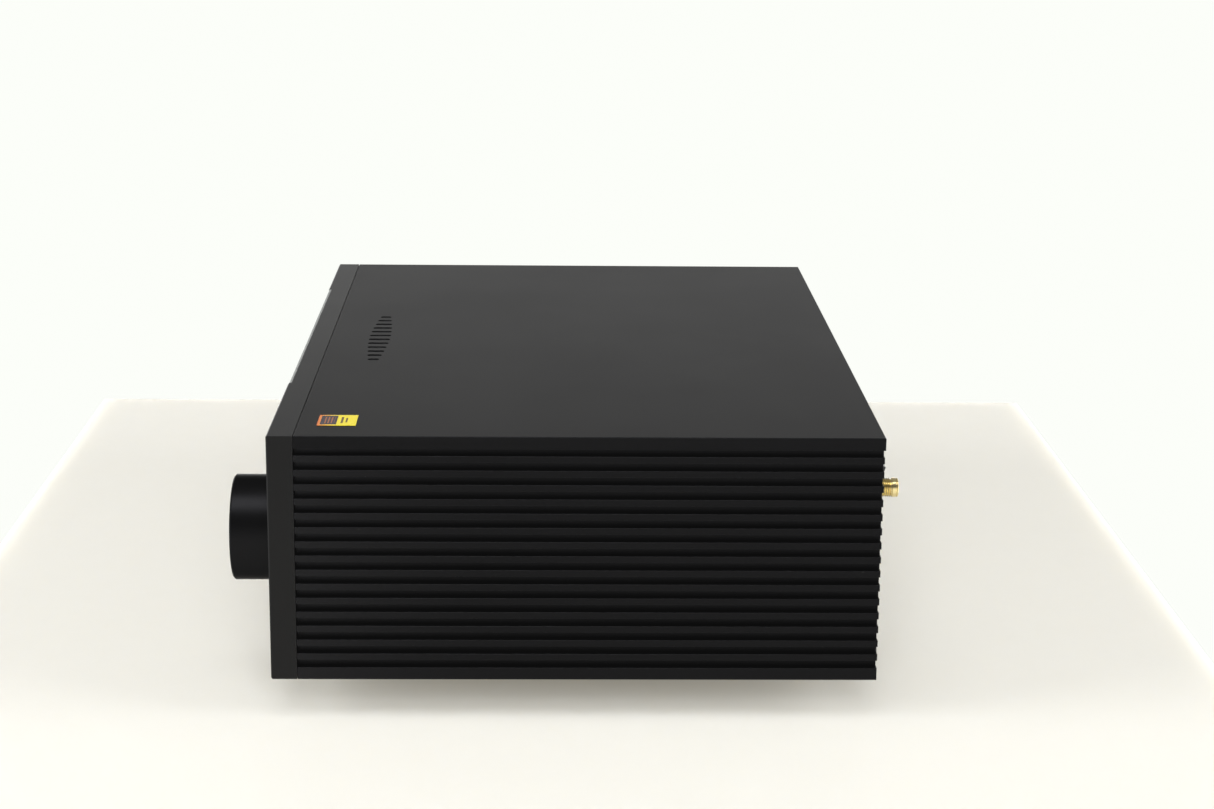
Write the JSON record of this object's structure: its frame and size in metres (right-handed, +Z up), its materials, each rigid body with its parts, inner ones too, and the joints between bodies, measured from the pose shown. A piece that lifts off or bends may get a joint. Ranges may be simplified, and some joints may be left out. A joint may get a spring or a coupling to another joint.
{
  "type": "network audio player",
  "caption": "Low finned-aluminium desktop audio player with a glass front, a push-and-turn knob, a row of rear sockets and round feet.",
  "frame": {"origin": "on the standing surface, midway across and midway front to back of the whole object", "axes": "+X to the right seen from the front, +Y from the front to the back, +Z up"},
  "size_m": [0.27, 0.2124, 0.0901],
  "materials": {
    "satin_black_aluminium": "fine-blasted satin black anodised aluminium",
    "dark_glass": "polished black-backed cover glass",
    "label_gold": "printed gold film label without lettering",
    "black_steel": "fine-textured black powder coat",
    "plated_steel": "bright zinc or nickel plate",
    "dark_plastic": "moulded black plastic",
    "pale_plastic": "white moulded plastic",
    "circuit_board": "solder-masked glass-fibre board",
    "brass": "turned brass",
    "sink_aluminium": "black-anodised extruded heatsink",
    "capacitor_sleeve": "shrunk plastic sleeve",
    "core_steel": "varnished steel laminations",
    "gold_plate": "gold plate",
    "foot_aluminium": "turned black-anodised aluminium",
    "rubber": "soft black rubber"
  },
  "bodies": {
    "case": {"aerial_nut": "gold_plate", "aerial_socket": "gold_plate", "audio_board": "circuit_board", "audio_capacitors": "capacitor_sleeve", "audio_chips": "dark_plastic", "board_posts": "brass", "board_screws": "black_steel", "bottom_plate": "black_steel", "case_screws": "black_steel", "coax_sockets": "gold_plate", "contact_pins": "gold_plate", "control_board": "circuit_board", "display_board": "circuit_board", "display_bracket": "plated_steel", "display_module": "dark_plastic", "display_ribbon": "pale_plastic", "encoder_body": "plated_steel", "encoder_nut": "plated_steel", "foot_front_left": "foot_aluminium", "foot_front_right": "foot_aluminium", "foot_rear_left": "foot_aluminium", "foot_rear_right": "foot_aluminium", "foot_screws": "black_steel", "front_glass": "dark_glass", "front_panel": "satin_black_aluminium", "lan_socket": "plated_steel", "left_front_bracket": "plated_steel", "left_side_panel": "satin_black_aluminium", "line_out_sockets": "gold_plate", "main_board": "circuit_board", "main_chips": "dark_plastic", "mains_inlet": "dark_plastic", "optical_in_socket": "dark_plastic", "optical_out_socket": "dark_plastic", "pad_front_left": "rubber", "pad_front_right": "rubber", "pad_rear_left": "rubber", "pad_rear_right": "rubber", "power_board": "circuit_board", "power_capacitors": "capacitor_sleeve", "power_heatsink": "sink_aluminium", "power_transformer": "core_steel", "processor_heatsink": "sink_aluminium", "rca_insulators": "dark_plastic", "rear_panel": "black_steel", "right_front_bracket": "plated_steel", "right_side_panel": "satin_black_aluminium", "switch_body": "dark_plastic", "top_label": "label_gold", "top_plate": "satin_black_aluminium", "usb_sockets": "plated_steel", "xlr_left_socket": "black_steel", "xlr_right_socket": "black_steel"},
    "knob_press": {"push_plunger": "pale_plastic"},
    "knob": {"encoder_shaft": "plated_steel", "volume_knob": "satin_black_aluminium", "knob_grub_screw": "black_steel"},
    "rocker": {"power_rocker": "dark_plastic"},
    "optical_in_flap": {"optical_in_shutter": "dark_plastic"},
    "optical_out_flap": {"optical_out_shutter": "dark_plastic"}
  },
  "joints": [
    {"name": "knob_push", "type": "slide", "parent": "case", "child": "knob_press", "axis": [0, 1, 0], "range_m": [0, 0.0007], "stiffness_N_per_m": 5000, "springref_m": -0.0004},
    {"name": "knob_turn", "type": "hinge", "parent": "knob_press", "child": "knob", "pos_m": [0.1015, -0.09215, 0.0513], "axis": [0, 1, 0], "continuous": true},
    {"name": "power_switch", "type": "hinge", "parent": "case", "child": "rocker", "pos_m": [0.1065, 0.09355, 0.0676], "axis": [1, 0, 0], "range_deg": [0, 18]},
    {"name": "optical_in_flap_turn", "type": "hinge", "parent": "case", "child": "optical_in_flap", "pos_m": [0.023, 0.09305, 0.0336], "axis": [-1, 0, 0], "range_deg": [0, 80], "stiffness_Nm_per_rad": 0.0004, "springref_deg": -17.19},
    {"name": "optical_out_flap_turn", "type": "hinge", "parent": "case", "child": "optical_out_flap", "pos_m": [0.008, 0.09305, 0.0336], "axis": [-1, 0, 0], "range_deg": [0, 80], "stiffness_Nm_per_rad": 0.0004, "springref_deg": -17.19}
  ]
}
